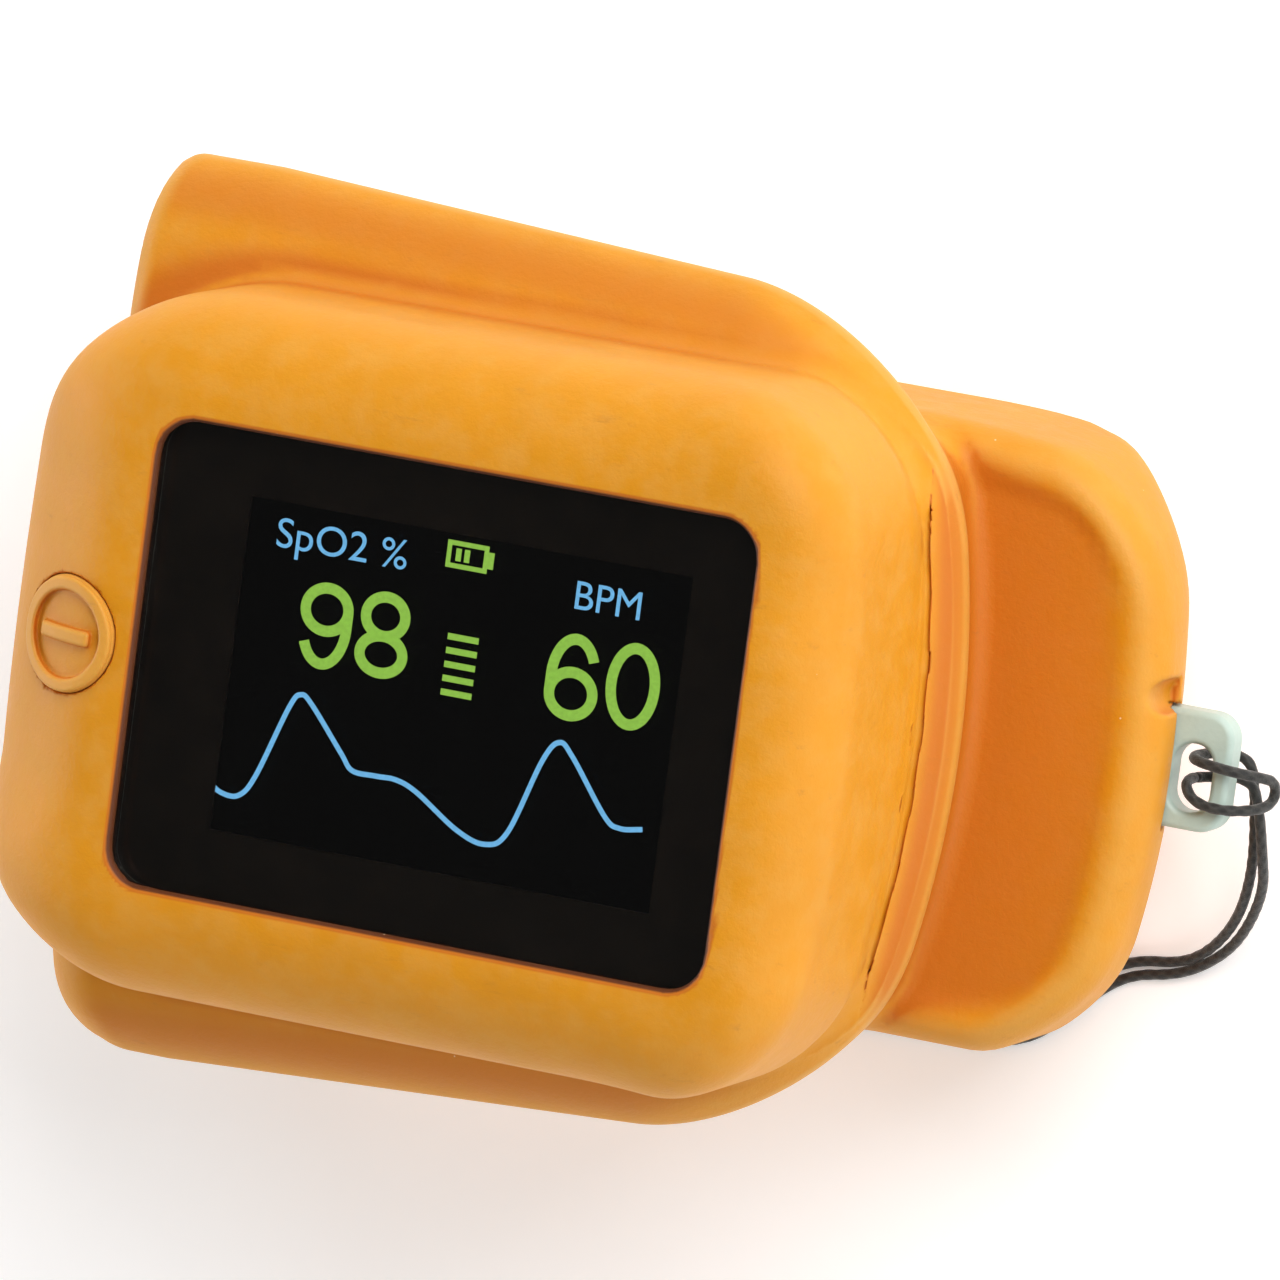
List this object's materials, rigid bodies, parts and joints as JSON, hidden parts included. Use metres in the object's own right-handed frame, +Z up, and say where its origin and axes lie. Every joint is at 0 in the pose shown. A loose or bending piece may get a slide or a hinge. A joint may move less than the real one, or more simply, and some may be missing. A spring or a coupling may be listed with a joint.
{
  "type": "fingertip pulse oximeter",
  "caption": "Clip-on fingertip pulse oximeter in a silicone boot: sprung jaws round a finger tunnel, sloped power button, display window, sliding battery door and hitched lanyard.",
  "frame": {"origin": "centre of the boot's footprint, on the surface that it stands on, without the lanyard", "axes": "+X to the rear, where the lanyard lug is; -X to the finger entry and the power button; +Z up through the display; +Y to the left of someone looking from the lug towards the finger entry is -Y, so +Y is on that person's right"},
  "size_m": [0.0637, 0.0474, 0.0364],
  "materials": {
    "orange_silicone": "matt moulded silicone rubber",
    "grey_green_plastic": "fine moulded satin",
    "clear_window": "polished dark tinted window",
    "black_print": "printed black ink on film",
    "display_glass": "dark display panel",
    "black_foam": "soft closed-cell foam",
    "green_board": "solder mask",
    "black_epoxy": "moulded chip epoxy",
    "white_plastic": "moulded satin",
    "grey_silicone": "soft matt silicone",
    "clear_plastic": "clear moulded cover",
    "led_package": "moulded light source",
    "steel": "zinc plated",
    "spring_steel": "drawn spring wire",
    "nickel_plate": "nickel plated strip",
    "cell_jacket": "printed cell jacket",
    "amber_film": "polyimide film",
    "black_braid": "braided thin cord",
    "black_plastic": "moulded satin"
  },
  "bodies": {
    "lower_jaw": {"boot_lower": "orange_silicone", "lower_case": "grey_green_plastic", "lower_inner_shell": "white_plastic", "lower_finger_pad": "grey_silicone", "detector_window": "clear_plastic", "photodiode": "black_epoxy", "sensor_board": "green_board", "sensor_flex": "amber_film", "lower_screws": "steel", "battery_1": "cell_jacket", "battery_2": "cell_jacket", "battery_contacts": "nickel_plate", "battery_springs": "spring_steel", "hinge_pin": "steel", "torsion_springs": "spring_steel", "lanyard_cord_a": "black_braid", "lanyard_cord_b": "black_braid", "lanyard_connector": "black_plastic"},
    "upper_jaw": {"boot_upper": "orange_silicone", "upper_case": "grey_green_plastic", "display_lens": "clear_window", "lens_mask": "black_print", "display_module": "display_glass", "display_frame": "black_foam", "main_board": "green_board", "board_components": "black_epoxy", "buzzer": "black_epoxy", "tact_switch": "black_epoxy", "upper_inner_shell": "white_plastic", "upper_finger_pad": "grey_silicone", "emitter_window": "clear_plastic", "emitter_led": "led_package", "emitter_board": "green_board", "upper_screws": "steel"},
    "power_button": {"button_pad": "orange_silicone", "power_key": "white_plastic", "switch_plunger": "black_epoxy"},
    "battery_door": {"battery_door": "grey_green_plastic"}
  },
  "joints": [
    {"name": "jaw_hinge", "type": "hinge", "parent": "lower_jaw", "child": "upper_jaw", "pos_m": [0.0095, 0, 0.0201], "axis": [0, 1, 0], "range_deg": [0, 14], "stiffness_Nm_per_rad": 0.12, "springref_deg": -34.38, "deforming": ["torsion_springs", "sensor_flex"]},
    {"name": "button_press", "type": "slide", "parent": "upper_jaw", "child": "power_button", "axis": [0, 0, -1], "range_m": [0, 0.0004], "stiffness_N_per_m": 900, "springref_m": -0.0005},
    {"name": "battery_door_slide", "type": "slide", "parent": "lower_jaw", "child": "battery_door", "axis": [1, 0, 0], "range_m": [0, 0.005]}
  ]
}
